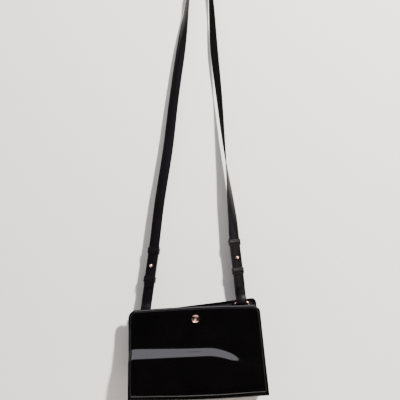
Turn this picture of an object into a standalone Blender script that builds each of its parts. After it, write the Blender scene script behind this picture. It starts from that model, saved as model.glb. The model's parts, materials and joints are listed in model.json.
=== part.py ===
"""Small satchel bag hanging by its shoulder strap: one object per physical piece, in metres, +Z up.

The origin is the underside of the strap's top bend, X runs across the bag and the front faces -Y.
"""

import math

import bmesh
import bpy
from mathutils import Vector

MM = 0.001

# Leather and gaps
LEATHER = 1.8
LINING = 0.8
STRAP_WIDTH = 17.0
STRAP_THICK = 1.5
GAP = 0.3

# Bag corners in millimetres: (x, z) for the rear, (x, y, z) for the front, which droops to the left
REAR_BOTTOM = ((-116.0, -738.0), (106.0, -730.0))
REAR_TOP = ((-117.0, -605.0), (91.0, -579.0))
REAR_OUTER_Y = 12.8
FRONT_BOTTOM = ((-118.5, -42.0, -739.0), (108.0, -55.0, -727.5))
FRONT_TOP = ((-120.0, -14.0, -598.0), (94.0, -48.0, -584.5))
FRONT_WIDTH, FRONT_HEIGHT = 214.0, 140.0
TOP_ARCH, BOTTOM_SAG = 2.0, 3.2
FRONT_CORNER, REAR_CORNER = 13.0, 9.0
LEDGE_STEP, LEDGE_HEIGHT = 5.4, 0.14

# Rings: the bar that the strap tab wraps, and the distance down to the bar that the chape wraps
RING_UPPER = {"left": Vector((-92.3, 0.0, -599.5)), "right": Vector((66.0, 0.0, -586.3))}
BAR_SPACING = 9.0
WIRE_RADIUS = 1.3
RING_INNER_WIDTH = 19.0
TAB_PLAY, CHAPE_PLAY = 0.4, 0.7
RIVET_AT = 30.0

# Strap adjusters: their lean, the turn of their faces outwards, and distances up from the ring's upper bar
LEAN = {"left": 0.1414, "right": -0.122}
FACE_TURN = {"left": math.radians(14), "right": math.radians(-18)}
STUD_AT = 75.0
TAB_END = 108.0
TIP_AT = {"left": 39.0, "right": 23.0}
KEEPER_AT = {
    "left": {"upper": 99.5, "lower": 52.0},
    "right": {"upper": 100.0, "lower": 53.0},
}
KEEPER_HEIGHT, KEEPER_THICK, KEEPER_PLAY = 10.0, 1.0, 0.35
HOLE_PITCH = 16.5
HOLE_RADIUS = 1.6

# The free strap between the adjusters: (x, z, turn). Turn 0 shows an edge, 90 the full grain face.
PEG_RADIUS = 10.0
LEFT_RUN = (
    (-76.0, -484.0, 76), (-68.0, -417.0, 74), (-55.5, -334.0, 76), (-45.4, -250.0, 66),
    (-34.0, -170.0, 60), (-22.3, -87.0, 16), (-12.2, -28.0, 2),
)
RIGHT_RUN = (
    (52.0, -471.0, 72), (49.8, -448.0, 56), (46.0, -417.0, 38), (39.5, -350.0, 0), (29.5, -250.0, -30),
    (20.9, -170.0, -43), (15.8, -87.0, -24), (12.2, -28.0, -3),
)

# Closure
SNAP_X, SNAP_Z = -9.6, -608.5
CAP_RADIUS = 6.2
TAB_WIDTH = 24.0

RING_LINE = (RING_UPPER["right"] - RING_UPPER["left"]).normalized()
RING_DOWN = Vector((RING_LINE.z, 0.0, -RING_LINE.x))
BACKWARD = Vector((0.0, 1.0, 0.0))
FORWARD = -BACKWARD

# Where the moving pieces turn: the bag on the rings' lower bars, the front panel on its bottom edge
HANG_POINT = Vector()
BAG_PIVOT = RING_UPPER["left"] + RING_DOWN * BAR_SPACING
FRONT_PIVOT = (Vector(FRONT_BOTTOM[0]) + Vector(FRONT_BOTTOM[1])) / 2 - Vector((0.0, 0.0, BOTTOM_SAG / 2))
SHARP_EDGE = math.radians(35)


def clear_scene():
    for obj in list(bpy.data.objects):
        bpy.data.objects.remove(obj, do_unlink=True)


def lerp(a, b, t):
    return a + (b - a) * t


def smooth(t):
    t = min(1.0, max(0.0, t))
    return t * t * (3 - 2 * t)


def material(obj, colour, roughness, metallic=0.0):
    made = bpy.data.materials.new(obj.name)
    made.use_nodes = True
    shader = made.node_tree.nodes["Principled BSDF"]
    shader.inputs["Base Color"].default_value = (*colour, 1.0)
    shader.inputs["Roughness"].default_value = roughness
    shader.inputs["Metallic"].default_value = metallic
    obj.data.materials.append(made)


LOOKS = {
    "leather": ((0.012, 0.011, 0.012), 0.25, 0.0),
    "lining": ((0.05, 0.045, 0.045), 0.8, 0.0),
    "copper": ((0.72, 0.42, 0.32), 0.2, 1.0),
    "board": ((0.2, 0.17, 0.13), 0.8, 0.0),
}


def finish(name, mesh, look, origin=BAG_PIVOT):
    """Links a bmesh in millimetres as one object, its origin on the axis of the joint that moves it."""
    bmesh.ops.recalc_face_normals(mesh, faces=mesh.faces)
    if mesh.calc_volume(signed=True) < 0:
        bmesh.ops.reverse_faces(mesh, faces=mesh.faces)
    for vertex in mesh.verts:
        vertex.co = (vertex.co - origin) * MM
    data = bpy.data.meshes.new(name)
    mesh.to_mesh(data)
    mesh.free()
    data.shade_smooth()
    data.set_sharp_from_angle(angle=SHARP_EDGE)
    obj = bpy.data.objects.new(name, data)
    obj.location = origin * MM
    bpy.context.collection.objects.link(obj)
    material(obj, *LOOKS[look])
    return obj


def slab(name, near, far, columns, rows, look, origin=BAG_PIVOT):
    """A sheet between two surfaces near(u, v) and far(u, v), at the given u and v values."""
    mesh = bmesh.new()
    sheets = [[[mesh.verts.new(side(u, v)) for u in columns] for v in rows] for side in (near, far)]
    for sheet in sheets:
        for j in range(len(rows) - 1):
            for i in range(len(columns) - 1):
                mesh.faces.new((sheet[j][i], sheet[j][i + 1], sheet[j + 1][i + 1], sheet[j + 1][i]))
    last_i, last_j = len(columns) - 1, len(rows) - 1
    rim = [(0, i) for i in range(last_i)] + [(j, last_i) for j in range(last_j)]
    rim += [(last_j, i) for i in range(last_i, 0, -1)] + [(j, 0) for j in range(last_j, 0, -1)]
    for (j, i), (l, k) in zip(rim, rim[1:] + rim[:1]):
        mesh.faces.new((sheets[0][j][i], sheets[0][l][k], sheets[1][l][k], sheets[1][j][i]))
    return finish(name, mesh, look, origin)


def sweep(name, stations, outline, look, closed=False, origin=BAG_PIVOT):
    """Sweeps an outline [(a, b)] along stations (centre, a axis, b axis)."""
    mesh = bmesh.new()
    rings = [[mesh.verts.new(c + p * a + q * b) for a, b in outline] for c, p, q in stations]
    pairs = list(zip(rings, rings[1:])) + ([(rings[-1], rings[0])] if closed else [])
    for one, two in pairs:
        for i in range(len(outline)):
            j = (i + 1) % len(outline)
            mesh.faces.new((one[i], one[j], two[j], two[i]))
    if not closed:
        mesh.faces.new(rings[0])
        mesh.faces.new(list(reversed(rings[-1])))
    return finish(name, mesh, look, origin)


def turned(name, profile, centre, axis, look, steps=28, origin=BAG_PIVOT):
    """Turns a profile [(radius, height)] about an axis; it starts and ends on the axis, radius 0."""
    axis = Vector(axis).normalized()
    side = axis.orthogonal().normalized()
    other = axis.cross(side)
    mesh = bmesh.new()
    loops = []
    for radius, height in profile:
        if radius == 0:
            loops.append([mesh.verts.new(centre + axis * height)])
            continue
        loops.append([
            mesh.verts.new(
                centre + axis * height
                + radius * (math.cos(k) * side + math.sin(k) * other)
            )
            for k in (2 * math.pi * n / steps for n in range(steps))
        ])
    for one, two in zip(loops, loops[1:]):
        for n in range(steps):
            m = (n + 1) % steps
            face = [one[n % len(one)], one[m % len(one)], two[m % len(two)], two[n % len(two)]]
            mesh.faces.new(list(dict.fromkeys(face)))
    return finish(name, mesh, look, origin)


def band_outline(width, thick):
    """A strap's cross-section, across its width then through its thickness, with eased edges."""
    w, t, ease = width / 2, thick / 2, min(0.35, thick * 0.25)
    return [(-w + ease, -t), (w - ease, -t), (w, -t + ease), (w, t - ease),
            (w - ease, t), (-w + ease, t), (-w, t - ease), (-w, -t + ease)]


def cut(obj, cutters):
    for number, cutter in enumerate(cutters):
        cutter.hide_render = True
        cutter.display_type = "WIRE"
        modifier = obj.modifiers.new(f"hole_{number}", "BOOLEAN")
        modifier.operation = "DIFFERENCE"
        modifier.solver = "EXACT"
        modifier.object = cutter


def drill(name, centre, axis, radius, length, steps=16):
    """A round cutter centred on a point."""
    profile = [(0, -length / 2), (radius, -length / 2), (radius, length / 2), (0, length / 2)]
    return turned(name, profile, Vector(centre), axis, "copper", steps)


# Bag panels -----------------------------------------------------------------------------------

def corner_drop(distance, radius):
    """How far a rounded top corner lies below the straight edge, at a distance in from the side."""
    if distance >= radius:
        return 0.0
    return radius - math.sqrt(max(0.0, radius**2 - (radius - distance) ** 2))


def rear_point(u, v, y, inset=0.0):
    """A point of the flat rear panel: u from left to right, v from bottom to top."""
    bottom = [lerp(REAR_BOTTOM[0][k], REAR_BOTTOM[1][k], u) for k in range(2)]
    top = [lerp(REAR_TOP[0][k], REAR_TOP[1][k], u) for k in range(2)]
    width = REAR_TOP[1][0] - REAR_TOP[0][0]
    top[1] -= corner_drop(min(u, 1 - u) * width, REAR_CORNER)
    x, z = lerp(bottom[0], top[0], v), lerp(bottom[1], top[1], v)
    x += inset * (1 - 2 * u)
    z += inset * (1 - 2 * v)
    return Vector((x, y, z))


def front_depth(u, v):
    """The front panel's outer y: straight between its edges, with a soft bulge and a ledge."""
    bottom = lerp(FRONT_BOTTOM[0][1], FRONT_BOTTOM[1][1], u)
    top = lerp(FRONT_TOP[0][1], FRONT_TOP[1][1], u)
    ledge_at = 0.51 - 0.22 * smooth((u - 0.58) / 0.5)
    step = LEDGE_STEP * (1 - 0.7 * smooth((u - 0.72) / 0.22))
    ledge = step * (smooth((v - ledge_at) / LEDGE_HEIGHT + 0.5) - 0.5)
    fade = smooth(v / 0.16) * smooth((1 - v) / 0.22)
    bulge = -3.0 * math.sin(math.pi * v) * math.sin(math.pi * u) ** 0.5
    return lerp(bottom, top, v) + ledge * fade + bulge


def front_point(u, v, inward=0.0, inset=0.0):
    across, up = inset / FRONT_WIDTH, inset / FRONT_HEIGHT
    u, v = lerp(across, 1 - across, u), lerp(up, 1 - up, v)
    bottom = [lerp(FRONT_BOTTOM[0][k], FRONT_BOTTOM[1][k], u) for k in (0, 2)]
    top = [lerp(FRONT_TOP[0][k], FRONT_TOP[1][k], u) for k in (0, 2)]
    bottom[1] -= BOTTOM_SAG * math.sin(math.pi * u)
    top[1] += TOP_ARCH * math.sin(math.pi * u) - corner_drop(min(u, 1 - u) * FRONT_WIDTH, FRONT_CORNER)
    x, z = lerp(bottom[0], top[0], v), lerp(bottom[1], top[1], v)
    return Vector((x, front_depth(u, v) + inward, z))


def spread(count, ends=0.062):
    """Values from 0 to 1, closer together near both ends, for the rounded corners."""
    near = [ends * n / 6 for n in range(6)]
    middle = [lerp(ends, 1 - ends, n / count) for n in range(count + 1)]
    return near + middle + [1 - n for n in reversed(near)]


def even(count):
    return [n / count for n in range(count + 1)]


def panel_rows(count=30):
    """Rows that crowd around the ledge."""
    rows = even(count) + [0.29, 0.34, 0.38, 0.42, 0.44, 0.47, 0.48, 0.51, 0.52, 0.56]
    return sorted({round(row, 4) for row in rows})


def build_rear():
    inner = REAR_OUTER_Y - LEATHER
    columns = spread(6)
    slab("rear_panel", lambda u, v: rear_point(u, v, REAR_OUTER_Y),
         lambda u, v: rear_point(u, v, inner), columns, [0, 0.5, 1], "leather")
    lining = slab("rear_lining", lambda u, v: rear_point(u, v, inner - GAP, 5.0),
                  lambda u, v: rear_point(u, v, inner - GAP - LINING, 5.0), columns,
                  [0, 0.5, 1], "lining")
    return lining, inner - GAP - LINING


def build_front():
    columns = spread(14)
    panel = slab("front_panel", lambda u, v: front_point(u, v),
                 lambda u, v: front_point(u, v, LEATHER), columns, panel_rows(22), "leather", FRONT_PIVOT)
    lining = slab("front_lining", lambda u, v: front_point(u, v, LEATHER + GAP + 0.4, 5.0),
                  lambda u, v: front_point(u, v, LEATHER + GAP + 0.4 + LINING, 5.0),
                  columns, panel_rows(22), "lining", FRONT_PIVOT)
    return panel, lining


def bottom_z(x, at_front):
    low, high = FRONT_BOTTOM if at_front else REAR_BOTTOM
    share = (x - low[0]) / (high[0] - low[0])
    sag = BOTTOM_SAG * math.sin(math.pi * share) if at_front else 0.0
    return lerp(low[-1], high[-1], share) - sag


def base_point(u, w, lift, inset):
    """A point of the base: w from the front panel's inner face (0) to the rear panel's (1)."""
    left, right = FRONT_BOTTOM[0][0] + inset, FRONT_BOTTOM[1][0] - inset
    x = lerp(left, right, u)
    share = (x - FRONT_BOTTOM[0][0]) / (FRONT_BOTTOM[1][0] - FRONT_BOTTOM[0][0])
    start = front_depth(share, 0) + LEATHER + 0.6 + inset * 0.5
    y = lerp(start, REAR_OUTER_Y - LEATHER - GAP - inset * 0.5, w)
    z = lerp(bottom_z(x, True), bottom_z(x, False), w)
    return Vector((x, y, z + lift - 3.2 * math.sin(math.pi * w) * (1 if inset < 4 else 0.6)))


def build_base():
    columns = even(10)
    slab("base_panel", lambda u, w: base_point(u, w, 0.6, 1.0),
         lambda u, w: base_point(u, w, 0.6 + LEATHER, 1.0), columns, even(8), "leather")
    slab("base_board", lambda u, w: base_point(u, w, 4.2, 9.0),
         lambda u, w: base_point(u, w, 5.8, 9.0), columns, even(6), "board")


def gusset_point(side, w, v, shift):
    """A side gusset: w from front to rear, v from bottom to top, folded inwards more at the top."""
    u = 0.0 if side == "left" else 1.0
    inward = 1.0 if side == "left" else -1.0
    height = lerp(0.05, 0.9, v)
    front, rear = front_point(u, height), rear_point(u, height, REAR_OUTER_Y)
    start, end = front.y + LEATHER + 0.5, REAR_OUTER_Y - LEATHER - 0.4
    fold = lerp(1.0, 8.0, v) * (1 - abs(2 * w - 1)) + 0.9
    return Vector((
        lerp(front.x, rear.x, w) + inward * (fold + shift),
        lerp(start, end, w),
        lerp(front.z, rear.z, w) + 0.8,
    ))


def build_gussets():
    for side in ("left", "right"):
        slab(f"gusset_{side}", lambda w, v: gusset_point(side, w, v, 0.0),
             lambda w, v: gusset_point(side, w, v, 1.2), [0, 0.15, 0.35, 0.45, 0.5, 0.55, 0.65, 0.85, 1],
             even(12), "leather")


def build_pocket(lining_face):
    """A flat pocket on the rear lining, open at the top, with thin returns on three sides."""
    low, high = Vector((-60.0, 4.2, -704.0)), Vector((36.0, lining_face - GAP, -638.0))
    mesh = bmesh.new()
    bmesh.ops.create_cube(mesh, size=1.0)
    for vertex in mesh.verts:
        vertex.co = Vector([lerp(low[k], high[k], vertex.co[k] + 0.5) for k in range(3)])
    pocket = finish("slip_pocket", mesh, "lining")
    mesh = bmesh.new()
    bmesh.ops.create_cube(mesh, size=1.0)
    inner_low, inner_high = low + Vector((1.0, 0.9, 1.0)), high + Vector((-1.0, 3.0, 3.0))
    for vertex in mesh.verts:
        vertex.co = Vector([lerp(inner_low[k], inner_high[k], vertex.co[k] + 0.5) for k in range(3)])
    cut(pocket, [finish("pocket_space", mesh, "lining")])


# Closure --------------------------------------------------------------------------------------

def frames_along(points, width_axis):
    """Stations for a band whose width axis is fixed, from its centre line."""
    stations = []
    for n, point in enumerate(points):
        ahead = points[min(n + 1, len(points) - 1)]
        behind = points[max(n - 1, 0)]
        along = (ahead - behind).normalized()
        stations.append((point, width_axis, along.cross(width_axis).normalized()))
    return stations


def build_closure(panel, lining, lining_face):
    across = Vector((1.0, 0.0, 0.0))
    u = (SNAP_X - FRONT_TOP[0][0]) / (FRONT_TOP[1][0] - FRONT_TOP[0][0])
    v = (SNAP_Z - front_point(u, 0.0).z) / (front_point(u, 1.0).z - front_point(u, 0.0).z)
    outer = front_depth(u, v)
    inner = outer + LEATHER + GAP + 0.4 + LINING
    centre = Vector((SNAP_X, outer, SNAP_Z))
    turned("snap_cap", [(0, -1.6), (1.5, -1.6), (1.5, 0.9), (CAP_RADIUS - 0.3, 0.9),
                        (CAP_RADIUS, 1.3), (CAP_RADIUS, 2.0), (CAP_RADIUS - 0.7, 2.6),
                        (CAP_RADIUS - 1.8, 2.5), (CAP_RADIUS - 2.4, 1.7), (2.4, 1.4), (0, 1.4)],
           centre, FORWARD, "copper", 40, FRONT_PIVOT)
    hole = drill("snap_hole", centre + BACKWARD, FORWARD, 2.1, 14.0, 24)
    cut(panel, [hole])
    cut(lining, [drill("snap_lining_hole", centre + BACKWARD, FORWARD, 2.1, 14.0, 24)])
    back = Vector((SNAP_X, inner, SNAP_Z))
    turned("snap_stud", [(0, -3.4), (1.4, -3.4), (1.8, -3.0), (1.8, -2.3), (1.5, -1.9), (1.7, -1.7),
                         (4.6, -1.6), (5.0, -1.4), (5.0, -1.0), (1.6, -1.0), (1.6, 0.9), (0, 0.9)],
           back, FORWARD, "copper", 32, FRONT_PIVOT)
    reach = inner + 5.6
    turn = 5.0
    points = [Vector((SNAP_X, lining_face - 0.4 - LEATHER / 2, z)) for z in (-628.5, -620.0, -612.0)]
    rear_y, front_y, top = points[0].y, reach + LEATHER / 2 - 0.9, -599.0
    points += [Vector((SNAP_X, rear_y - turn * (1 - math.cos(a)), top - turn + turn * math.sin(a)))
               for a in (math.pi / 2 * n / 6 for n in range(7))]
    points += [Vector((SNAP_X, front_y + turn * (1 - math.sin(a)), top - turn + turn * math.cos(a)))
               for a in (math.pi / 2 * n / 6 for n in range(7))]
    points += [Vector((SNAP_X, front_y, z)) for z in (-609.0, -620.0)]
    tab = sweep("closure_tab", frames_along(points, across), band_outline(TAB_WIDTH, LEATHER), "leather")
    cut(tab, [drill("socket_hole", Vector((SNAP_X, front_y, SNAP_Z)), FORWARD, 3.3, 8.0, 24)])
    seat = Vector((SNAP_X, front_y - LEATHER / 2, SNAP_Z))
    turned_ring("snap_socket", [(2.5, 0.3), (5.0, 0.3), (5.0, 1.5), (4.4, 1.9), (3.0, 1.9),
                                (2.5, 1.5)], seat, "copper")
    turned("socket_cap", [(0, -3.3), (5.0, -3.3), (5.0, -2.2), (2.9, -2.2), (2.9, -0.4),
                          (2.2, -0.4), (2.2, -2.2), (0, -2.2)], seat, FORWARD, "copper", 32)


def turned_ring(name, profile, centre, look):
    """Turns a closed profile [(radius, height)] about the forward axis, leaving a hole through it."""
    side, other = Vector((1.0, 0.0, 0.0)), Vector((0.0, 0.0, 1.0))
    stations = []
    for n in range(32):
        angle = 2 * math.pi * n / 32
        out = math.cos(angle) * side + math.sin(angle) * other
        stations.append((centre, out, FORWARD))
    return sweep(name, stations, profile, look, closed=True)


# Rings, chapes and adjusters ------------------------------------------------------------------

def build_ring(side):
    """A rounded rectangular loop of wire around the two bars."""
    upper = RING_UPPER[side]
    half = RING_INNER_WIDTH / 2 + WIRE_RADIUS
    radius = 2.4
    stations = []
    for sign, low, start in ((1, False, 90), (1, True, 0), (-1, True, -90), (-1, False, -180)):
        turn_at = RING_LINE * sign * (half - radius) + RING_DOWN * (BAR_SPACING - radius if low else radius)
        for n in range(5):
            angle = math.radians(start - n * 22.5)
            out = math.cos(angle) * RING_LINE - math.sin(angle) * RING_DOWN
            stations.append((upper + turn_at + out * radius, out, BACKWARD))
    wire = [(WIRE_RADIUS * math.cos(k), WIRE_RADIUS * math.sin(k))
            for k in (2 * math.pi * n / 12 for n in range(12))]
    sweep(f"ring_{side}", stations, wire, "copper", closed=True, origin=upper)


def folded(legs, reach, play):
    """(distance, offset) of a band folded round a bar: down one leg, round, and up the other."""
    inner = WIRE_RADIUS + play + STRAP_THICK / 2
    points = []
    for distance in reach:
        share = smooth((distance - 3.0) / 11.0)
        points.append((distance, lerp(inner, legs, share)))
    path = [(d, q) for d, q in reversed(points)]
    path += [(-inner * math.sin(math.pi * n / 10), inner * math.cos(math.pi * n / 10)) for n in range(1, 10)]
    path += [(d, -q) for d, q in points]
    return path


def tab_axis(side, distance):
    """(centre, width axis, up axis, facing) of an adjuster at a distance up from the ring's upper bar."""
    up = Vector((LEAN[side], 0.0, 1.0)).normalized()
    across = Vector((up.z, 0.0, -up.x))
    across = math.cos(FACE_TURN[side]) * across + math.sin(FACE_TURN[side]) * FORWARD
    width = RING_LINE.lerp(across, smooth((distance - 6.0) / 28.0)).normalized()
    return RING_UPPER[side] + up * distance, width, up, width.cross(up).normalized()


def build_tab(side):
    legs = STRAP_THICK / 2 + 0.15
    path = folded(legs, [0, 3, 5.5, 8, 10.5, 14, 20, 27, 34, 50, 66, 75, 84, 95, TAB_END], TAB_PLAY)
    points, widths = [], []
    for distance, toward_front in path:
        centre, width, _, facing = tab_axis(side, max(distance, 0.0))
        if distance < 0:
            centre = RING_UPPER[side] + RING_DOWN * -distance
        points.append(centre + facing * toward_front)
        widths.append(width)
    stations = []
    for n, point in enumerate(points):
        along = (points[min(n + 1, len(points) - 1)] - points[max(n - 1, 0)]).normalized()
        stations.append((point, widths[n], along.cross(widths[n]).normalized()))
    tab = sweep(f"tab_{side}", stations, band_outline(STRAP_WIDTH, STRAP_THICK), "leather",
                origin=HANG_POINT)
    centre, _, _, facing = tab_axis(side, STUD_AT)
    cut(tab, [drill(f"tab_hole_{side}", centre, facing, 1.9, 12.0)])


def build_stud(side):
    centre, _, _, facing = tab_axis(side, STUD_AT)
    front = STRAP_THICK * 1.5 + 0.45 + GAP
    turned(f"strap_stud_{side}",
           [(0, 0.6), (0.9, 0.6), (1.3, 0.6), (1.3, front), (1.5, front + 0.6), (2.4, front + 1.2),
            (2.95, front + 2.2), (2.95, front + 3.0), (2.4, front + 4.0), (1.2, front + 4.6),
            (0, front + 4.75)],
           centre, facing, "copper", 24, HANG_POINT)
    turned(f"strap_stud_screw_{side}",
           [(0, 0.2), (1.3, 0.2), (1.3, -2.0), (3.2, -2.0), (3.5, -2.3), (3.5, -2.7), (3.1, -3.0),
            (0, -3.0)],
           centre, facing, "copper", 24, HANG_POINT)


def build_keepers(side):
    low = -(STRAP_THICK + 0.15) - KEEPER_PLAY
    high = 2 * STRAP_THICK + 0.45 + KEEPER_PLAY
    corner_radius, middle = 0.8, (low + high) / 2
    reach_x = STRAP_WIDTH / 2 + KEEPER_PLAY + KEEPER_THICK / 2
    reach_y = (high - low) / 2 + KEEPER_THICK / 2
    for place, distance in KEEPER_AT[side].items():
        centre, width, up, facing = tab_axis(side, distance)
        stations = []
        for sx, sy, start in ((1, 1, 0), (-1, 1, 90), (-1, -1, 180), (1, -1, 270)):
            corner = width * sx * (reach_x - corner_radius)
            corner += facing * (middle + sy * (reach_y - corner_radius))
            for n in range(4):
                angle = math.radians(start + 30 * n)
                out = math.cos(angle) * width + math.sin(angle) * facing
                stations.append((centre + corner + out * corner_radius, up, out))
        sweep(f"keeper_{side}_{place}", stations, band_outline(KEEPER_HEIGHT, KEEPER_THICK), "leather",
              closed=True, origin=centre)


def build_chape(side, lining_face):
    """A leather loop round the ring's lower bar, riveted to the rear lining."""
    bar = RING_UPPER[side] + RING_DOWN * BAR_SPACING
    legs = STRAP_THICK / 2 + 0.15
    seat = lining_face - GAP - STRAP_THICK - 0.15
    path = folded(legs, [0, 3, 5.5, 8, 10.5, 14, 18, 22, 30, 38], CHAPE_PLAY)
    points = []
    for distance, toward_front in path:
        drop = smooth((distance - 2.0) / 18.0) * seat
        points.append(bar + RING_DOWN * distance + BACKWARD * (drop - toward_front))
    sheet = sweep(f"chape_{side}", frames_along(points, RING_LINE), band_outline(STRAP_WIDTH, STRAP_THICK),
                  "leather")
    centre = bar + RING_DOWN * RIVET_AT + BACKWARD * seat
    cut(sheet, [drill(f"chape_hole_{side}", centre, FORWARD, 1.7, 9.0)])
    out = STRAP_THICK + 0.15
    turned(f"chape_rivet_{side}",
           [(0, -out - 0.9), (1.3, -out - 0.9), (1.3, out + 0.3), (3.4, out + 0.3),
            (3.2, out + 0.9), (2.0, out + 1.3), (0, out + 1.4)],
           centre, FORWARD, "copper", 24)
    return drill(f"lining_hole_{side}", centre, FORWARD, 1.7, 12.0)


# Shoulder strap -------------------------------------------------------------------------------

def catmull(points, steps):
    """A smooth curve through the points, which are tuples of numbers."""
    padded = [points[0]] + list(points) + [points[-1]]
    curve = []
    for a, b, c, d in zip(padded, padded[1:], padded[2:], padded[3:]):
        for n in range(steps):
            t = n / steps
            curve.append(tuple(
                0.5 * (2 * q + (r - p) * t + (2 * p - 5 * q + 4 * r - s) * t * t
                       + (3 * q - p - 3 * r + s) * t**3)
                for p, q, r, s in zip(a, b, c, d)
            ))
    return curve + [tuple(points[-1])]


def strap_half(side, run):
    """(point, outward normal) down one side, from the peg to the tip."""
    sign = -1 if side == "left" else 1
    layer = STRAP_THICK + 0.15 + STRAP_THICK / 2 + GAP
    found = []
    for n in range(1, 7):
        angle = math.radians(90 - 14 * n)
        out = Vector((sign * math.cos(angle), 0.0, math.sin(angle)))
        found.append((Vector((0, 0, -PEG_RADIUS)) + out * (PEG_RADIUS + STRAP_THICK / 2), out))
    for x, z, turn in catmull(list(reversed(run)), 6):
        angle = math.radians(turn)
        out = Vector((sign * math.cos(angle), -math.sin(angle), 0.0))
        share = smooth((-z - 300.0) / 180.0)
        found.append((Vector((x, 0.0, z)) + out * layer * share, out))
    for distance in (107.0, 98.0, 84.0, 75.0, 66.0, 55.0, 45.0, 40.0, 36.0, 30.0, 24.0):
        if distance < TIP_AT[side] + 4.0:
            continue
        centre, _, _, facing = tab_axis(side, distance)
        found.append((centre + facing * layer, facing))
    return found


def build_strap():
    left, right = strap_half("left", LEFT_RUN), strap_half("right", RIGHT_RUN)
    top = (Vector((0, 0, STRAP_THICK / 2)), Vector((0, 0, 1)))
    line = list(reversed(left)) + [top] + right
    stations = []
    previous = None
    for n, (point, out) in enumerate(line):
        along = (line[min(n + 1, len(line) - 1)][0] - line[max(n - 1, 0)][0]).normalized()
        out = (out - along * out.dot(along)).normalized()
        width = along.cross(out).normalized()
        if previous and width.dot(previous) < 0:
            width = -width
        previous = width
        stations.append((point, width, out))
    for side, end in (("left", 0), ("right", -1)):
        _, width, out = stations[end]
        layer = STRAP_THICK + 0.15 + STRAP_THICK / 2 + GAP
        tips = []
        for ahead, share in ((2.6, 0.86), (1.2, 0.62), (0.0, 0.3)):
            centre, _, _, facing = tab_axis(side, TIP_AT[side] + ahead)
            tips.append((centre + facing * layer, width * share, out))
        stations = list(reversed(tips)) + stations if side == "left" else stations + tips
    strap = sweep("shoulder_strap", stations, band_outline(STRAP_WIDTH, STRAP_THICK), "leather",
                  origin=HANG_POINT)
    holes = []
    for side, count in (("left", 1), ("right", 3)):
        for n in range(count):
            centre, _, _, facing = tab_axis(side, STUD_AT - n * HOLE_PITCH)
            holes.append(drill(f"strap_hole_{side}_{n}", centre + facing * 2.7, facing,
                               HOLE_RADIUS + (0.3 if n == 0 else -0.1), 2.4))
    cut(strap, holes)


clear_scene()
lining, lining_face = build_rear()
front, front_lining = build_front()
build_base()
build_gussets()
build_pocket(lining_face)
build_closure(front, front_lining, lining_face)
lining_holes = []
for side in ("left", "right"):
    build_ring(side)
    build_tab(side)
    build_stud(side)
    build_keepers(side)
    lining_holes.append(build_chape(side, lining_face))
cut(lining, lining_holes)
build_strap()
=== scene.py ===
import json
import math

import bmesh
import bpy
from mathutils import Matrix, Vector


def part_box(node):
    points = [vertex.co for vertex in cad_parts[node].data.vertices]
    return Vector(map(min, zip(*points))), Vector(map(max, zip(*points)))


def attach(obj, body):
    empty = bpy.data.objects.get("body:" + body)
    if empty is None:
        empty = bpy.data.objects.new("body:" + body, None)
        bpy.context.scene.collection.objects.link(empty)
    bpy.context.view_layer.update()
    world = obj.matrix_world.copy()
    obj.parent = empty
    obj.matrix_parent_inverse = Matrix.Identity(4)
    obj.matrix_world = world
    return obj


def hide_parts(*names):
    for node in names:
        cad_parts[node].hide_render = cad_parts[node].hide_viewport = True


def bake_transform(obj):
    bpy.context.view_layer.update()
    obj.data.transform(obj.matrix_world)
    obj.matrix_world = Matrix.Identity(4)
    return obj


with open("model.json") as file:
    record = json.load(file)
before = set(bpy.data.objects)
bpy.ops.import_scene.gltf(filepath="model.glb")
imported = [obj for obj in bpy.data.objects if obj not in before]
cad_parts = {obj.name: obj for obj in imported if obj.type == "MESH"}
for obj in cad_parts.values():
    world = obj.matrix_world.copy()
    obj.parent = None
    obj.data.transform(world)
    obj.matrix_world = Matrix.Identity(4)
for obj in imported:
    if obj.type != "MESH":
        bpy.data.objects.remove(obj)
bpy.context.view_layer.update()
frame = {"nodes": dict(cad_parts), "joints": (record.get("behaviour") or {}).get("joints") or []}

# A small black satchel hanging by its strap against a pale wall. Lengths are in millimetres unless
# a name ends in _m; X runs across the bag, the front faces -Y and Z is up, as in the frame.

MM = 0.001
JOINTS = {joint["name"]: joint for joint in frame["joints"]}

LEATHER = 1.8
STRAP_WIDTH, STRAP_THICK, STRAP_GAP = 17.0, 1.5, 0.3
RING_INNER_WIDTH = 19.0
FRONT_CORNER, REAR_CORNER = 13.0, 9.0
FRONT_WIDTH, FRONT_HEIGHT = 214.0, 140.0
REAR_BOTTOM = ((-116.0, -738.0), (106.0, -730.0))
REAR_TOP = ((-117.0, -605.0), (91.0, -579.0))
FRONT_BOTTOM = ((-118.5, -42.0, -739.0), (108.0, -55.0, -727.5))
FRONT_TOP = ((-120.0, -14.0, -598.0), (94.0, -48.0, -584.5))
TOP_ARCH, BOTTOM_SAG = 2.0, 3.2
LEDGE_STEP, LEDGE_HEIGHT = 5.4, 0.14
SEAM_INSET, BOTTOM_SEAM = 4.0, 6.2
STITCH_PITCH, STITCH_LENGTH, STITCH_RADIUS = 3.4, 2.5, 0.28
STITCH_SIDES = 6
FRONT_BULGE = 3.0
EDGE_ROLL, ROLL_REACH = 1.1, 2.6
BASE_SAG, BASE_SEAT = 3.2, 0.6
GUSSET_THICK, GUSSET_FOLD = 1.2, 8.0
GUSSET_SPAN = (0.05, 0.9)

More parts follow.
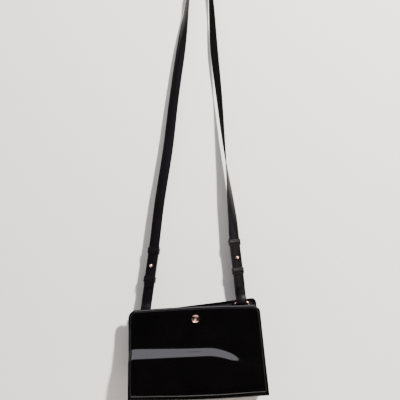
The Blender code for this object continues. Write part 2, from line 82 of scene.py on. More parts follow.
LEAN = {"left": 0.1414, "right": -0.122}
FACE_TURN = {"left": math.radians(14), "right": math.radians(-18)}
STUD_AT, HOLE_PITCH = 75.0, 16.5
STUD_HEIGHT, STUD_HEAD = 7.75, 2.95
TAB_END, TAB_PLAY = 108.0, 0.4
CHAPE_END, CHAPE_PLAY = 38.0, 0.7
FOLD_GAP = 0.15
STRAP_LAYER = STRAP_THICK * 1.5 + FOLD_GAP + STRAP_GAP
STRAP_JOINS_AT, TIP_LENGTH = 107.0, 4.0
KEEPER_HEIGHT, KEEPER_THICK, KEEPER_PLAY, KEEPER_CORNER = 10.0, 1.0, 0.35, 1.0
RING_CORNER = 2.4
TIP_AT = {"left": 39.0, "right": 23.0}
PEG_RADIUS = 10.0
LEFT_RUN = (
    (-76.0, -484.0, 76), (-68.0, -417.0, 74), (-55.5, -334.0, 76), (-45.4, -250.0, 66),
    (-34.0, -170.0, 60), (-22.3, -87.0, 16), (-12.2, -28.0, 2),
)
RIGHT_RUN = (
    (52.0, -471.0, 72), (49.8, -448.0, 56), (46.0, -417.0, 38), (39.5, -350.0, 0),
    (29.5, -250.0, -30), (20.9, -170.0, -43), (15.8, -87.0, -24), (12.2, -28.0, -3),
)

# The camera, and the wall: its y is WALL_Y at the height WALL_Z, and it leans forward above that
CAMERA_AT = Vector((-2.5, -1450.0, -417.0))
VIEW_WIDTH = 660.0
WALL_Y, WALL_Z, WALL_LEAN = 24.0, -600.0, 0.025
WALL_SIDE, WALL_TOP = 2600.0, 1500.0
FLOOR_Z, FLOOR_FRONT_Y = -1150.0, -450.0

FORWARD, BACKWARD = Vector((0, -1, 0)), Vector((0, 1, 0))
RING_UPPER = {side: Vector(JOINTS[f"ring_{side}_swing"]["pos_m"]) / MM for side in ("left", "right")}
RING_LINE = (RING_UPPER["right"] - RING_UPPER["left"]).normalized()
RING_DOWN = Vector((RING_LINE.z, 0.0, -RING_LINE.x))
BAR_SPACING = (Vector(JOINTS["bag_swing"]["pos_m"]) / MM - RING_UPPER["left"]).length
WIRE_RADIUS = 1.3


def lerp(a, b, t):
    return a + (b - a) * t


def smooth(t):
    t = min(1.0, max(0.0, t))
    return t * t * (3 - 2 * t)


def box_centre(node):
    low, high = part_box(node)
    return (Vector(low) + Vector(high)) / (2 * MM)


# Materials ------------------------------------------------------------------------------------

class Look:
    """A Principled material with small helpers for its node tree."""

    def __init__(self, name, colour, roughness, metallic=0.0, **sockets):
        self.made = bpy.data.materials.new(name)
        self.made.use_nodes = True
        self.nodes, self.links = self.made.node_tree.nodes, self.made.node_tree.links
        self.shader = self.nodes["Principled BSDF"]
        values = {"Base Color": (*colour, 1.0), "Roughness": roughness, "Metallic": metallic, **sockets}
        for socket, value in values.items():
            self.shader.inputs[socket].default_value = value
        self.place = self.nodes.new("ShaderNodeTexCoord").outputs["Object"]

    def noise(self, scale, detail=4.0, distortion=0.0):
        node = self.nodes.new("ShaderNodeTexNoise")
        node.inputs["Scale"].default_value = scale
        node.inputs["Detail"].default_value = detail
        node.inputs["Distortion"].default_value = distortion
        self.links.new(self.place, node.inputs["Vector"])
        return node.outputs["Fac"]

    def cells(self, scale):
        node = self.nodes.new("ShaderNodeTexVoronoi")
        node.feature = "SMOOTH_F1"
        node.inputs["Scale"].default_value = scale
        self.links.new(self.place, node.inputs["Vector"])
        return node.outputs["Distance"]

    def wave(self, scale, direction):
        node = self.nodes.new("ShaderNodeTexWave")
        node.bands_direction = direction
        node.inputs["Scale"].default_value = scale
        node.inputs["Distortion"].default_value = 0.6
        self.links.new(self.place, node.inputs["Vector"])
        return node.outputs["Fac"]

    def spread(self, value, low, high):
        """Maps a 0 to 1 texture onto a range."""
        node = self.nodes.new("ShaderNodeMapRange")
        node.inputs["To Min"].default_value = low
        node.inputs["To Max"].default_value = high
        self.links.new(value, node.inputs["Value"])
        return node.outputs["Result"]

    def blend(self, one, two, how="ADD"):
        node = self.nodes.new("ShaderNodeMath")
        node.operation = how
        self.links.new(one, node.inputs[0])
        self.links.new(two, node.inputs[1])
        return node.outputs["Value"]

    def tint(self, value, dark, light):
        node = self.nodes.new("ShaderNodeMix")
        node.data_type = "RGBA"
        node.inputs["A"].default_value = (*dark, 1.0)
        node.inputs["B"].default_value = (*light, 1.0)
        self.links.new(value, node.inputs["Factor"])
        self.links.new(node.outputs["Result"], self.shader.inputs["Base Color"])

    def rough(self, value, low, high):
        self.links.new(self.spread(value, low, high), self.shader.inputs["Roughness"])

    def bump(self, height, depth, strength=1.0, coat=False):
        node = self.nodes.new("ShaderNodeBump")
        node.inputs["Strength"].default_value = strength
        node.inputs["Distance"].default_value = depth * MM
        self.links.new(height, node.inputs["Height"])
        self.links.new(node.outputs["Normal"], self.shader.inputs["Normal"])
        if coat:
            self.links.new(node.outputs["Normal"], self.shader.inputs["Coat Normal"])


def glossy_leather():
    look = Look("glossy_leather", (0.0015, 0.0014, 0.0016), 0.5,
                **{"Coat Weight": 1.0, "Coat Roughness": 0.08, "Coat IOR": 1.6, "Specular IOR Level": 0.0})
    grain = look.spread(look.cells(900.0), 0.0, 0.6)
    creases = look.noise(60.0, 6.0, 0.4)
    look.tint(look.noise(25.0), (0.0010, 0.0009, 0.0011), (0.0024, 0.0021, 0.0024))
    look.rough(creases, 0.42, 0.6)
    look.bump(look.blend(grain, creases), 0.05, 0.22, coat=True)
    return look.made


def strap_leather():
    look = Look("strap_leather", (0.003, 0.0026, 0.0034), 0.5,
                **{"Coat Weight": 0.22, "Coat Roughness": 0.34, "Specular IOR Level": 0.04})
    grain = look.spread(look.cells(1300.0), 0.0, 0.8)
    look.tint(look.noise(40.0), (0.0018, 0.0015, 0.0020), (0.0045, 0.0038, 0.0048))
    look.rough(look.noise(90.0, 5.0), 0.34, 0.55)
    look.bump(look.blend(grain, look.noise(200.0, 4.0)), 0.06, 0.5, coat=True)
    return look.made


def edge_paint():
    look = Look("edge_paint", (0.003, 0.003, 0.003), 0.45,
                **{"Coat Weight": 0.25, "Coat Roughness": 0.3, "Specular IOR Level": 0.1})
    look.tint(look.noise(120.0), (0.0025, 0.0022, 0.0025), (0.007, 0.006, 0.007))
    look.bump(look.noise(300.0, 3.0), 0.05, 0.4)
    return look.made


def flesh_side():
    """The strap's suede underside."""
    look = Look("flesh_side", (0.005, 0.0045, 0.0045), 0.9, **{"Specular IOR Level": 0.05})
    look.tint(look.noise(180.0, 6.0), (0.003, 0.0027, 0.0025), (0.009, 0.008, 0.0075))
    look.bump(look.noise(900.0, 5.0), 0.12, 0.6)
    return look.made


def lining_cloth():
    look = Look("lining_cloth", (0.012, 0.011, 0.012), 0.9, **{"Specular IOR Level": 0.15})
    weave = look.blend(look.wave(420.0, "X"), look.wave(420.0, "Z"), "MULTIPLY")
    look.tint(look.blend(weave, look.noise(60.0), "MULTIPLY"), (0.006, 0.0055, 0.006), (0.022, 0.020, 0.021))
    look.bump(weave, 0.15, 0.7)
    return look.made


def fibre_board():
    """The base board's dark fibre, which also shows as a thin line under each gusset."""
    look = Look("fibre_board", (0.008, 0.007, 0.007), 0.85)
    fibres = look.noise(350.0, 8.0, 1.2)
    look.tint(fibres, (0.005, 0.004, 0.003), (0.013, 0.0105, 0.008))
    look.bump(fibres, 0.1, 0.5)
    return look.made


def thread():
    look = Look("thread", (0.012, 0.011, 0.012), 0.6, **{"Sheen Weight": 0.3})
    look.tint(look.noise(900.0), (0.008, 0.007, 0.008), (0.03, 0.028, 0.028))
    look.bump(look.wave(2500.0, "DIAGONAL"), 0.05, 0.6)
    return look.made


def polished_copper():
    look = Look("polished_copper", (0.86, 0.50, 0.38), 0.14, 1.0)
    look.tint(look.noise(90.0, 5.0), (0.78, 0.43, 0.32), (0.92, 0.58, 0.45))
    look.rough(look.noise(500.0, 6.0), 0.10, 0.22)
    look.bump(look.noise(1500.0, 3.0), 0.01, 0.25)
    return look.made


GLOSS, STRAP_LOOK, EDGE, SUEDE = glossy_leather(), strap_leather(), edge_paint(), flesh_side()
CLOTH, BOARD, THREAD, COPPER = lining_cloth(), fibre_board(), thread(), polished_copper()


# Mesh helpers ---------------------------------------------------------------------------------

def finish(name, mesh, looks, body, replaces=(), sharp=38.0, bevel=0.0):
    """Turns a bmesh in millimetres into a piece that rides on a body, with its materials."""
    bmesh.ops.recalc_face_normals(mesh, faces=mesh.faces)
    if mesh.calc_volume(signed=True) < 0:
        bmesh.ops.reverse_faces(mesh, faces=mesh.faces)
    bmesh.ops.scale(mesh, vec=(MM, MM, MM), verts=mesh.verts)
    data = bpy.data.meshes.new(name)
    mesh.to_mesh(data)
    mesh.free()
    for look in looks:
        data.materials.append(look)
    data.shade_smooth()
    data.set_sharp_from_angle(angle=math.radians(sharp))
    piece = bpy.data.objects.new(name, data)
    bpy.context.collection.objects.link(piece)
    if bevel:
        modifier = piece.modifiers.new("eased_edges", "BEVEL")
        modifier.width, modifier.segments, modifier.angle_limit = bevel * MM, 3, math.radians(50)
    if body:
        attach(piece, body)
    if replaces:
        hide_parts(*replaces)
    return piece


def slab(near, far, columns, rows):
    """A sheet between two surfaces of (u, v), with its rim faces given the second material."""
    mesh = bmesh.new()
    sheets = [[[mesh.verts.new(side(u, v)) for u in columns] for v in rows] for side in (near, far)]
    for sheet in sheets:
        for j in range(len(rows) - 1):
            for i in range(len(columns) - 1):
                mesh.faces.new((sheet[j][i], sheet[j][i + 1], sheet[j + 1][i + 1], sheet[j + 1][i]))
    last_i, last_j = len(columns) - 1, len(rows) - 1
    rim = [(0, i) for i in range(last_i)] + [(j, last_i) for j in range(last_j)]
    rim += [(last_j, i) for i in range(last_i, 0, -1)] + [(j, 0) for j in range(last_j, 0, -1)]
    for (j, i), (m, k) in zip(rim, rim[1:] + rim[:1]):
        face = mesh.faces.new((sheets[0][j][i], sheets[0][m][k], sheets[1][m][k], sheets[1][j][i]))
        face.material_index = 1
    return mesh


def sweep(stations, outline, closed=False, sides=None):
    """Sweeps an outline [(a, b)] along stations (centre, a axis, b axis); sides gives material indices."""
    mesh = bmesh.new()
    loops = [[mesh.verts.new(c + p * a + q * b) for a, b in outline] for c, p, q in stations]
    pairs = list(zip(loops, loops[1:])) + ([(loops[-1], loops[0])] if closed else [])
    for one, two in pairs:
        for i in range(len(outline)):
            j = (i + 1) % len(outline)
            face = mesh.faces.new((one[i], one[j], two[j], two[i]))
            face.material_index = sides[i] if sides else 0
    if not closed:
        mesh.faces.new(loops[0])
        mesh.faces.new(list(reversed(loops[-1])))
    return mesh


def turned(profile, centre, axis, steps=64):
    """Turns a profile [(radius, height)] that starts and ends on the axis."""
    side = axis.orthogonal().normalized()
    other = axis.cross(side)
    mesh = bmesh.new()
    loops = []
    for radius, height in profile:
        angles = [0.0] if radius == 0 else [2 * math.pi * n / steps for n in range(steps)]
        loops.append([
            mesh.verts.new(centre + axis * height + radius * (math.cos(k) * side + math.sin(k) * other))
            for k in angles
        ])
    for one, two in zip(loops, loops[1:]):
        for n in range(steps):
            m = (n + 1) % steps
            face = [one[n % len(one)], one[m % len(one)], two[m % len(two)], two[n % len(two)]]
            mesh.faces.new(list(dict.fromkeys(face)))
    return mesh


def arc(centre, radius, start, end, count):
    """Points (r, h) along an arc in a turned profile, angles in degrees from the +r direction."""
    angles = [math.radians(lerp(start, end, n / count)) for n in range(count + 1)]
    return [(centre[0] + radius * math.cos(a), centre[1] + radius * math.sin(a)) for a in angles]


def stitches(name, line, normal, body):
    """A row of short thread loops along a polyline, proud of the surface by half their thickness."""
    mesh = bmesh.new()
    travelled, due = 0.0, STITCH_PITCH / 2
    for start, end in zip(line, line[1:]):
        length = (end - start).length
        along = (end - start).normalized()
        across = along.cross(normal).normalized()
        while due < travelled + length:
            middle = start + along * (due - travelled)
            loops = []
            for share, size in ((-0.5, 0.25), (-0.38, 0.8), (0.0, 1.0), (0.38, 0.8), (0.5, 0.25)):
                loops.append([
                    mesh.verts.new(middle + along * share * STITCH_LENGTH + STITCH_RADIUS * size
                                   * (math.cos(a) * across + math.sin(a) * normal))
                    for a in (2 * math.pi * n / STITCH_SIDES for n in range(STITCH_SIDES))
                ])
            for one, two in zip(loops, loops[1:]):
                for n in range(STITCH_SIDES):
                    m = (n + 1) % STITCH_SIDES
                    mesh.faces.new((one[n], one[m], two[m], two[n]))
            mesh.faces.new(loops[0])
            mesh.faces.new(list(reversed(loops[-1])))
            due += STITCH_PITCH
        travelled += length
    finish(name, mesh, [THREAD], body)


# Bag panels -----------------------------------------------------------------------------------

def corner_drop(distance, radius):
    if distance >= radius:
        return 0.0
    return radius - math.sqrt(max(0.0, radius**2 - (radius - distance) ** 2))


def edge_distance(u, v, radius):
    """How far in from the panel's sides and top a point lies, round the top corners too."""
    across = min(u, 1 - u) * FRONT_WIDTH
    drop = corner_drop(across, radius)
    down = (1 - v) * (FRONT_HEIGHT - drop) + drop
    if across < radius and down < radius:
        return max(0.0, radius - math.hypot(radius - across, radius - down))
    return max(0.0, min(across, down))


def edge_relief(distance, low):
    """How far the face dips: rolled edges, a faint line inside them and a pressed seam along the bottom."""
    nearest = min(distance, low)
    roll = EDGE_ROLL * max(0.0, 1 - nearest / ROLL_REACH) ** 2
    line = 0.16 * math.exp(-((distance - SEAM_INSET) / 0.8) ** 2) * smooth((low - 4.0) / 6.0)
    seam = 0.6 * math.exp(-((low - BOTTOM_SEAM) / 1.0) ** 2) * smooth((distance - 1.5) / 4.0)
    return roll + line + seam


def front_depth(u, v):
    bottom = lerp(FRONT_BOTTOM[0][1], FRONT_BOTTOM[1][1], u)
    top = lerp(FRONT_TOP[0][1], FRONT_TOP[1][1], u)
    ledge_at = 0.51 - 0.22 * smooth((u - 0.58) / 0.5)
    step = LEDGE_STEP * (1 - 0.7 * smooth((u - 0.72) / 0.22))
    ledge = step * (smooth((v - ledge_at) / LEDGE_HEIGHT + 0.5) - 0.5)
    fade = smooth(v / 0.16) * smooth((1 - v) / 0.22)
    bulge = -FRONT_BULGE * math.sin(math.pi * v) * math.sin(math.pi * u) ** 0.5
    return lerp(bottom, top, v) + ledge * fade + bulge


def soft_dents(u, v):
    """Slow unevenness of soft leather, under a millimetre."""
    wave = math.sin(5.1 * u + 2.3 * v + 0.7) * math.sin(3.7 * v - 2.2 * u)
    return 0.45 * wave + 0.25 * math.sin(11.0 * u - 4.0 * v) * math.sin(6.0 * v + 1.0)


def ledge_crease(u, v):
    """A fine crease along the middle of the ledge, which splits its shine in two."""
    along = smooth((u - 0.2) / 0.15) * smooth((0.62 - u) / 0.1)
    return 0.4 * along * math.exp(-(((v - 0.513 + 0.02 * (u - 0.3)) * FRONT_HEIGHT) / 1.0) ** 2)


def front_point(u, v, inward=0.0):
    bottom = [lerp(FRONT_BOTTOM[0][k], FRONT_BOTTOM[1][k], u) for k in (0, 2)]
    top = [lerp(FRONT_TOP[0][k], FRONT_TOP[1][k], u) for k in (0, 2)]
    bottom[1] -= BOTTOM_SAG * math.sin(math.pi * u)
    top[1] += TOP_ARCH * math.sin(math.pi * u) - corner_drop(min(u, 1 - u) * FRONT_WIDTH, FRONT_CORNER)
    x, z = lerp(bottom[0], top[0], v), lerp(bottom[1], top[1], v)
    return Vector((x, front_depth(u, v) + inward, z))


def front_face(u, v):
    distance, low = edge_distance(u, v, FRONT_CORNER), v * FRONT_HEIGHT
    quiet = smooth(min(distance, low) / 25.0)
    relief = edge_relief(distance, low) + quiet * (soft_dents(u, v) + ledge_crease(u, v))
    return front_point(u, v, relief)


def rear_point(u, v, y):
    bottom = [lerp(REAR_BOTTOM[0][k], REAR_BOTTOM[1][k], u) for k in range(2)]
    top = [lerp(REAR_TOP[0][k], REAR_TOP[1][k], u) for k in range(2)]
    top[1] -= corner_drop(min(u, 1 - u) * FRONT_WIDTH, REAR_CORNER)
    return Vector((lerp(bottom[0], top[0], v), y, lerp(bottom[1], top[1], v)))


def crowded(size, fine=0.5, reach=9.0, coarse=2.4):
    """Values from 0 to 1 over a length, closely spaced near both ends."""
    near = [n * fine for n in range(int(reach / fine))]
    count = int((size - 2 * reach) / coarse)
    middle = [lerp(reach, size - reach, n / count) for n in range(count + 1)]
    return [d / size for d in near + middle + [size - d for d in reversed(near)]]


def seam_line(point, radius):
    """The seam's route round the sides and top, as points on a panel."""
    side, top = SEAM_INSET / FRONT_WIDTH, 1 - SEAM_INSET / FRONT_HEIGHT
    turn = radius - SEAM_INSET
    route = [(side, lerp(0.05, 1 - radius / FRONT_HEIGHT, n / 40)) for n in range(41)]
    corner = []
    for n in range(1, 8):
        angle = math.pi / 2 * n / 8
        across = radius - turn * math.cos(angle)
        down = radius - turn * math.sin(angle)
        drop = corner_drop(across, radius)
        corner.append((across / FRONT_WIDTH, 1 - (down - drop) / (FRONT_HEIGHT - drop)))
    route += corner
    route += [(lerp(radius / FRONT_WIDTH, 1 - radius / FRONT_WIDTH, n / 60), top) for n in range(61)]
    route += [(1 - u, v) for u, v in reversed(corner)]
    route += [(1 - u, v) for u, v in reversed(route[:41])]
    return [point(u, v) for u, v in route]


def build_front():
    columns, rows = crowded(FRONT_WIDTH, reach=14.0), crowded(FRONT_HEIGHT, reach=14.0, coarse=1.3)
    mesh = slab(front_face, lambda u, v: front_point(u, v, LEATHER), columns, rows)
    finish("front_shell", mesh, [GLOSS, EDGE], "front", ["front_panel"], bevel=0.35)
    stitches("front_stitching", seam_line(front_face, FRONT_CORNER), FORWARD, "front")


def build_rear():
    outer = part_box("rear_panel")[1][1] / MM
    columns, rows = crowded(FRONT_WIDTH), crowded(FRONT_HEIGHT, coarse=6.0)

    def face(u, v):
        relief = edge_relief(edge_distance(u, v, REAR_CORNER), v * FRONT_HEIGHT)
        return rear_point(u, v, outer - relief * 0.7)

    mesh = slab(face, lambda u, v: rear_point(u, v, outer - LEATHER), columns, rows)
    finish("rear_shell", mesh, [GLOSS, EDGE], "bag", ["rear_panel"], bevel=0.3)
    stitches("rear_stitching", seam_line(face, REAR_CORNER), BACKWARD, "bag")


def bottom_z(x, at_front):
    low, high = FRONT_BOTTOM if at_front else REAR_BOTTOM
    share = (x - low[0]) / (high[0] - low[0])
    sag = BOTTOM_SAG * math.sin(math.pi * share) if at_front else 0.0
    return lerp(low[-1], high[-1], share) - sag


def base_point(u, w, lift):
    x = lerp(FRONT_BOTTOM[0][0] + 1.0, FRONT_BOTTOM[1][0] - 1.0, u)
    share = (x - FRONT_BOTTOM[0][0]) / (FRONT_BOTTOM[1][0] - FRONT_BOTTOM[0][0])
    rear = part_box("base_panel")[1][1] / MM
    y = lerp(front_depth(share, 0) + LEATHER + BASE_SEAT, rear, w)
    z = lerp(bottom_z(x, True), bottom_z(x, False), w)
    sag = BASE_SAG * math.sin(math.pi * w) + 0.5 * math.sin(math.pi * w) * math.sin(9 * u)
    return Vector((x, y, z + lift - sag))


def build_base():
    columns = [n / 60 for n in range(61)]
    rows = [n / 24 for n in range(25)]
    mesh = slab(lambda u, w: base_point(u, w, BASE_SEAT), lambda u, w: base_point(u, w, BASE_SEAT + LEATHER),
                columns, rows)
    finish("base_shell", mesh, [GLOSS, EDGE], "bag", ["base_panel"], bevel=0.3)


def gusset_point(side, w, v, shift):
    u = 0.0 if side == "left" else 1.0
    inward = 1.0 if side == "left" else -1.0
    height = lerp(*GUSSET_SPAN, v)
    rear_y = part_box("rear_panel")[0][1] / MM
    front, rear = front_point(u, height), rear_point(u, height, 0.0)
    crease = 1 - math.sqrt((2 * w - 1) ** 2 + 0.01) + 0.005
    ripple = 0.5 * math.sin(9.0 * v + 4.0 * w) * math.sin(math.pi * w)
    fold = lerp(1.0, GUSSET_FOLD, v) * crease + ripple * (0.3 + v) * 0.6 + 0.9
    return Vector((
        lerp(front.x, rear.x, w) + inward * (fold + shift),
        lerp(front.y + LEATHER + 0.5, rear_y - 0.4, w),
        lerp(front.z, rear.z, w) + 0.8,
    ))


def build_gussets():
    columns, rows = [n / 36 for n in range(37)], [n / 60 for n in range(61)]
    for side in ("left", "right"):
        mesh = slab(lambda w, v: gusset_point(side, w, v, 0.0),
                    lambda w, v: gusset_point(side, w, v, GUSSET_THICK), columns, rows)
        piece = finish(f"gusset_fold_{side}", mesh, [GLOSS, EDGE], None,
                       [f"gusset_{side}"], bevel=0.25)
        middle = gusset_point(side, 0.5, 0.5, 0.0)
        near, far = gusset_point(side, 0.0, 0.5, 0.0), gusset_point(side, 1.0, 0.5, 0.0)
        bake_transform(piece)


# Hardware -------------------------------------------------------------------------------------

def build_snap():
    """The dished stud on the front, its rim rounded and its middle sunk."""
    low, high = (Vector(corner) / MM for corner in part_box("snap_cap"))
    radius = (high.x - low.x) / 2
    centre = Vector(((low.x + high.x) / 2, low.y + 2.6, (low.z + high.z) / 2))
    profile = [(0, -1.6), (1.5, -1.6), (1.5, 0.9), (radius - 0.4, 0.9)]
    profile += arc((radius - 0.9, 1.7), 0.9, -60, 90, 10)
    profile += [(radius - 1.3, 2.45), (radius - 1.8, 2.2), (radius - 2.4, 2.0), (radius - 3.2, 1.85),
                (2.0, 1.8), (1.5, 1.76), (1.2, 1.6), (0.9, 1.45), (0, 1.4)]
    finish("snap_button", turned(profile, centre, FORWARD, 72), [COPPER], "front",
           ["snap_cap"])


def build_strap_studs():
    for side in ("left", "right"):
        centre, _, _, facing = tab_axis(side, STUD_AT)
        foot, waist = 0.6, STUD_HEIGHT - 4.9
        profile = [(0, foot), (1.3, foot), (1.3, waist), (1.5, STUD_HEIGHT - 4.3)]
        profile += arc((0, STUD_HEIGHT - STUD_HEAD), STUD_HEAD, -38, 90, 18)[:-1] + [(0, STUD_HEIGHT)]
        finish(f"ball_stud_{side}", turned(profile, centre, facing, 48), [COPPER], "strap",
               [f"strap_stud_{side}"])


def build_rings():
    half = RING_INNER_WIDTH / 2 + WIRE_RADIUS
    wire = [(WIRE_RADIUS * math.cos(k), WIRE_RADIUS * math.sin(k))
            for k in (2 * math.pi * n / 24 for n in range(24))]
    for side in ("left", "right"):
        stations = []
        for sign, low, start in ((1, False, 90), (1, True, 0), (-1, True, -90), (-1, False, -180)):
            turn_at = RING_LINE * sign * (half - RING_CORNER)
            turn_at += RING_DOWN * (BAR_SPACING - RING_CORNER if low else RING_CORNER)
            for n in range(11):
                angle = math.radians(start - n * 9)
                out = math.cos(angle) * RING_LINE - math.sin(angle) * RING_DOWN
                stations.append((RING_UPPER[side] + turn_at + out * RING_CORNER, out, BACKWARD))
        finish(f"wire_ring_{side}", sweep(stations, wire, closed=True), [COPPER], f"ring_{side}",
               [f"ring_{side}"])


# Strap and adjusters --------------------------------------------------------------------------

def band(width, thick, groove=0.18):
    """A strap's section and its material indices: grain side up, pressed lines near both edges."""
    w, t = width / 2, thick / 2
    ease = min(0.4, thick * 0.3)
    outline = [(-w + ease, -t), (w - ease, -t), (w - ease * 0.3, -t + ease * 0.3), (w, -t + ease),
               (w, t - ease), (w - ease * 0.3, t - ease * 0.3), (w - ease, t),
               (w - 1.5, t), (w - 1.8, t - groove), (w - 2.1, t), (0, t + 0.05),
               (-w + 2.1, t), (-w + 1.8, t - groove), (-w + 1.5, t),
               (-w + ease, t), (-w + ease * 0.3, t - ease * 0.3), (-w, t - ease), (-w, -t + ease),
               (-w + ease * 0.3, -t + ease * 0.3)]
    sides = [2] + [1] * 5 + [0] * 8 + [1] * 5
    return outline, sides


def catmull(points, steps):
    padded = [points[0]] + list(points) + [points[-1]]
    curve = []
    for a, b, c, d in zip(padded, padded[1:], padded[2:], padded[3:]):
        for n in range(steps):
            t = n / steps
            curve.append(tuple(
                0.5 * (2 * q + (r - p) * t + (2 * p - 5 * q + 4 * r - s) * t * t
                       + (3 * q - p - 3 * r + s) * t**3)
                for p, q, r, s in zip(a, b, c, d)
            ))
    return curve + [tuple(points[-1])]


def tab_axis(side, distance):
    """(centre, width axis, up axis, facing) of an adjuster at a distance up from the ring's upper bar."""
    up = Vector((LEAN[side], 0.0, 1.0)).normalized()
    across = Vector((up.z, 0.0, -up.x))
    across = math.cos(FACE_TURN[side]) * across + math.sin(FACE_TURN[side]) * FORWARD
    width = RING_LINE.lerp(across, smooth((distance - 6.0) / 28.0)).normalized()
    return RING_UPPER[side] + up * distance, width, up, width.cross(up).normalized()


def strap_half(side, run):
    sign = -1 if side == "left" else 1
    found = []
    for n in range(1, 25):
        angle = math.radians(90 - 3.5 * n)
        out = Vector((sign * math.cos(angle), 0.0, math.sin(angle)))
        found.append((Vector((0, 0, -PEG_RADIUS)) + out * (PEG_RADIUS + STRAP_THICK / 2), out))
    for x, z, turn in catmull(list(reversed(run)), 20):
        angle = math.radians(turn)
        out = Vector((sign * math.cos(angle), -math.sin(angle), 0.0))
        found.append((Vector((x, 0.0, z)) + out * STRAP_LAYER * smooth((-z - 300.0) / 180.0), out))
    end = TIP_AT[side] + TIP_LENGTH
    for n in range(61):
        centre, _, _, facing = tab_axis(side, lerp(STRAP_JOINS_AT, end, n / 60))
        found.append((centre + facing * STRAP_LAYER, facing))
    return found


def build_strap():
    left, right = strap_half("left", LEFT_RUN), strap_half("right", RIGHT_RUN)
    line = list(reversed(left)) + [(Vector((0, 0, STRAP_THICK / 2)), Vector((0, 0, 1)))] + right
    stations, previous = [], None
    for n, (point, out) in enumerate(line):
        along = (line[min(n + 1, len(line) - 1)][0] - line[max(n - 1, 0)][0]).normalized()
        out = (out - along * out.dot(along)).normalized()
        width = along.cross(out).normalized()
        if previous and width.dot(previous) < 0:
            width = -width
        previous = width
        stations.append((point, width, out))
    for side in ("left", "right"):
        _, width, out = stations[0 if side == "left" else -1]
        tips = []
        for n in range(1, 9):
            angle = math.pi / 2 * n / 8.6
            centre, _, _, facing = tab_axis(side, TIP_AT[side] + TIP_LENGTH * (1 - math.sin(angle)))
            tips.append((centre + facing * STRAP_LAYER, width * max(0.2, math.cos(angle)), out))
        stations = list(reversed(tips)) + stations if side == "left" else stations + tips
    outline, sides = band(STRAP_WIDTH, STRAP_THICK)
    finish("strap_band", sweep(stations, outline, sides=sides), [STRAP_LOOK, EDGE, SUEDE], "strap",
           ["shoulder_strap"], sharp=60)


def build_hole_marks():
    """The punched holes' dark mouths, each a thin ring pressed round its hole."""
    surface = STRAP_LAYER + STRAP_THICK / 2
    for side, count in (("left", 2), ("right", 3)):
        for n in range(1, count):
            centre, _, _, facing = tab_axis(side, STUD_AT - n * HOLE_PITCH)
            mouth = turned([(0, -0.5), (1.5, -0.5), (1.7, 0.02), (1.5, 0.07), (1.25, -0.04), (0, -0.1)],
                           centre + facing * surface, facing, 32)
            finish(f"hole_mouth_{side}_{n}", mouth, [EDGE], "strap")


def folded_stations(legs, reach, inner, place):
    """Stations of a band folded round a bar; place(distance, offset) gives (point, width axis)."""
    leg = [(d, lerp(inner, legs, smooth((d - 3.0) / 11.0))) for d in reach]
    path = list(reversed(leg))
    path += [(-inner * math.sin(math.pi * n / 24), inner * math.cos(math.pi * n / 24))
             for n in range(1, 24)]
    path += [(d, -q) for d, q in leg]
    found = [place(d, q) for d, q in path]
    stations = []
    for n, (point, width) in enumerate(found):
        along = (found[min(n + 1, len(found) - 1)][0] - found[max(n - 1, 0)][0]).normalized()
        stations.append((point, width, along.cross(width).normalized()))
    return stations


def build_tabs():
    inner, legs = WIRE_RADIUS + TAB_PLAY + STRAP_THICK / 2, STRAP_THICK / 2 + FOLD_GAP
    outline, sides = band(STRAP_WIDTH, STRAP_THICK)
    for side in ("left", "right"):
        def place(distance, toward_front):
            centre, width, _, facing = tab_axis(side, max(distance, 0.0))
            if distance < 0:
                centre = RING_UPPER[side] + RING_DOWN * -distance
            return centre + facing * toward_front, width

        reach = [TAB_END * n / 80 for n in range(81)]
        mesh = sweep(folded_stations(legs, reach, inner, place), outline, sides=sides)
        finish(f"tab_fold_{side}", mesh, [STRAP_LOOK, EDGE, SUEDE], "strap",
               [f"tab_{side}"], sharp=60)


def build_chapes():
    inner, legs = WIRE_RADIUS + CHAPE_PLAY + STRAP_THICK / 2, STRAP_THICK / 2 + FOLD_GAP
    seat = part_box("rear_lining")[0][1] / MM - STRAP_GAP - STRAP_THICK - FOLD_GAP
    outline, sides = band(STRAP_WIDTH, STRAP_THICK)
    for side in ("left", "right"):
        bar = RING_UPPER[side] + RING_DOWN * BAR_SPACING

        def place(distance, toward_front):
            drop = smooth((distance - 2.0) / 18.0) * seat
            return bar + RING_DOWN * distance + BACKWARD * (drop - toward_front), RING_LINE

        reach = [CHAPE_END * n / 50 for n in range(51)]
        mesh = sweep(folded_stations(legs, reach, inner, place), outline, sides=sides)
        finish(f"chape_fold_{side}", mesh, [STRAP_LOOK, EDGE, SUEDE], "bag",
               [f"chape_{side}"], sharp=60)


def build_keepers():
    """Leather loops with rounded corners round the tab's two layers and the strap."""
    low, high = -(STRAP_THICK + 0.5), 2 * STRAP_THICK + 0.8
    middle, reach_y = (low + high) / 2, (high - low) / 2 + KEEPER_THICK / 2
    reach_x = STRAP_WIDTH / 2 + KEEPER_PLAY + KEEPER_THICK / 2
    outline, sides = band(KEEPER_HEIGHT, KEEPER_THICK, 0.1)
    for side in ("left", "right"):
        for place in ("upper", "lower"):
            name = f"keeper_{side}_{place}"
            centre = box_centre(name)
            distance = (centre - RING_UPPER[side]).dot(tab_axis(side, 50.0)[2])
            centre, width, up, facing = tab_axis(side, distance)
            stations = []
            for sx, sy, start in ((1, 1, 0), (-1, 1, 90), (-1, -1, 180), (1, -1, 270)):
                for n in range(9):
                    angle = math.radians(start + 11.25 * n)
                    out = math.cos(angle) * width + math.sin(angle) * facing
                    corner = width * sx * (reach_x - KEEPER_CORNER)
                    corner += facing * (middle + sy * (reach_y - KEEPER_CORNER))
                    stations.append((centre + corner + out * KEEPER_CORNER, up, out))
            finish(f"loop_{side}_{place}", sweep(stations, outline, closed=True, sides=sides),
                   [STRAP_LOOK, EDGE, SUEDE], name, [name], sharp=60)


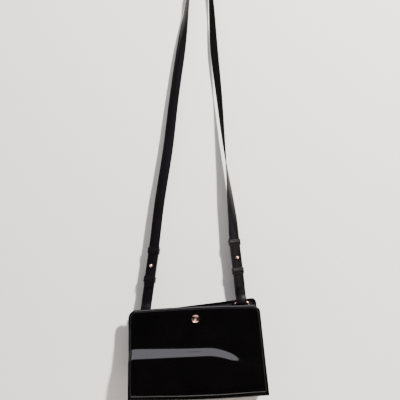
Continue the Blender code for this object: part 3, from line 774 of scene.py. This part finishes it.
def dress_cad_nodes():
    """The frame's own pieces that keep their shape get the detailed materials."""
    looks = {
        "rear_lining": CLOTH, "front_lining": CLOTH, "slip_pocket": CLOTH, "base_board": BOARD,
        "closure_tab": GLOSS, "snap_stud": COPPER, "snap_socket": COPPER, "socket_cap": COPPER,
        "chape_rivet_left": COPPER, "chape_rivet_right": COPPER,
        "strap_stud_screw_left": COPPER, "strap_stud_screw_right": COPPER,
    }
    for name, look in looks.items():
        for slot in frame["nodes"][name].material_slots:
            slot.material = look


# Stage ----------------------------------------------------------------------------------------

def plane(name, corners, look):
    data = bpy.data.meshes.new(name)
    data.from_pydata([Vector(corner) * MM for corner in corners], [], [(0, 1, 2, 3)])
    data.materials.append(look)
    made = bpy.data.objects.new(name, data)
    bpy.context.collection.objects.link(made)


def wall_look():
    """Pale matt paint on the room's side. From behind the wall is clear."""
    look = Look("wall_paint", (0.83, 0.80, 0.765), 0.9, **{"Specular IOR Level": 0.2})
    look.tint(look.noise(3.0), (0.82, 0.79, 0.755), (0.84, 0.81, 0.775))
    look.bump(look.noise(400.0, 3.0), 0.05, 0.15)
    clear = look.nodes.new("ShaderNodeBsdfTransparent")
    mix = look.nodes.new("ShaderNodeMixShader")
    face = look.nodes.new("ShaderNodeNewGeometry").outputs["Backfacing"]
    output = look.nodes["Material Output"].inputs["Surface"]
    look.links.new(face, mix.inputs["Fac"])
    look.links.new(look.shader.outputs["BSDF"], mix.inputs[1])
    look.links.new(clear.outputs["BSDF"], mix.inputs[2])
    look.links.new(mix.outputs["Shader"], output)
    return look.made


def area_light(name, at, towards, size, power, colour):
    data = bpy.data.lights.new(name, "AREA")
    data.shape, data.size, data.size_y = "RECTANGLE", size[0] * MM, size[1] * MM
    data.energy, data.color = power, colour
    light = bpy.data.objects.new(name, data)
    light.location = Vector(at) * MM
    aim = (Vector(towards) - Vector(at)).normalized()
    light.rotation_euler = aim.to_track_quat("-Z", "Y").to_euler()
    bpy.context.collection.objects.link(light)


def build_stage():
    """A wall that leans in a little towards the top, as it meets the peg, and a floor well below."""
    paint = wall_look()
    low = WALL_Y - WALL_LEAN * (FLOOR_Z - WALL_Z)
    high = WALL_Y - WALL_LEAN * (WALL_TOP - WALL_Z)
    plane("wall", [(-WALL_SIDE, low, FLOOR_Z), (WALL_SIDE, low, FLOOR_Z), (WALL_SIDE, high, WALL_TOP),
                   (-WALL_SIDE, high, WALL_TOP)], paint)
    plane("floor", [(-WALL_SIDE, FLOOR_FRONT_Y, FLOOR_Z), (WALL_SIDE, FLOOR_FRONT_Y, FLOOR_Z),
                    (WALL_SIDE, low, FLOOR_Z), (-WALL_SIDE, low, FLOOR_Z)], paint)
    middle = (-5, 0, -500)
    area_light("key", (1050, -1750, 760), middle, (150, 150), 172, (1.0, 0.96, 0.915))
    area_light("overhead", (-250, -1350, 850), (-10, 0, -650), (2600, 1400), 30, (0.94, 0.92, 1.0))
    world = bpy.data.worlds.new("studio")
    world.use_nodes = True
    world.node_tree.nodes["Background"].inputs["Color"].default_value = (0.6, 0.6, 0.62, 1.0)
    world.node_tree.nodes["Background"].inputs["Strength"].default_value = 0.01
    bpy.context.scene.world = world


def build_camera():
    data = bpy.data.cameras.new("camera")
    data.sensor_width = 36.0
    data.lens = data.sensor_width * -CAMERA_AT.y / VIEW_WIDTH
    camera = bpy.data.objects.new("camera", data)
    camera.location = CAMERA_AT * MM
    camera.rotation_euler = (math.pi / 2, 0.0, 0.0)
    bpy.context.collection.objects.link(camera)
    bpy.context.scene.camera = camera


build_front()
build_rear()
build_base()
build_gussets()
build_snap()
build_strap_studs()
build_rings()
build_strap()
build_hole_marks()
build_tabs()
build_chapes()
build_keepers()
dress_cad_nodes()
build_stage()
build_camera()
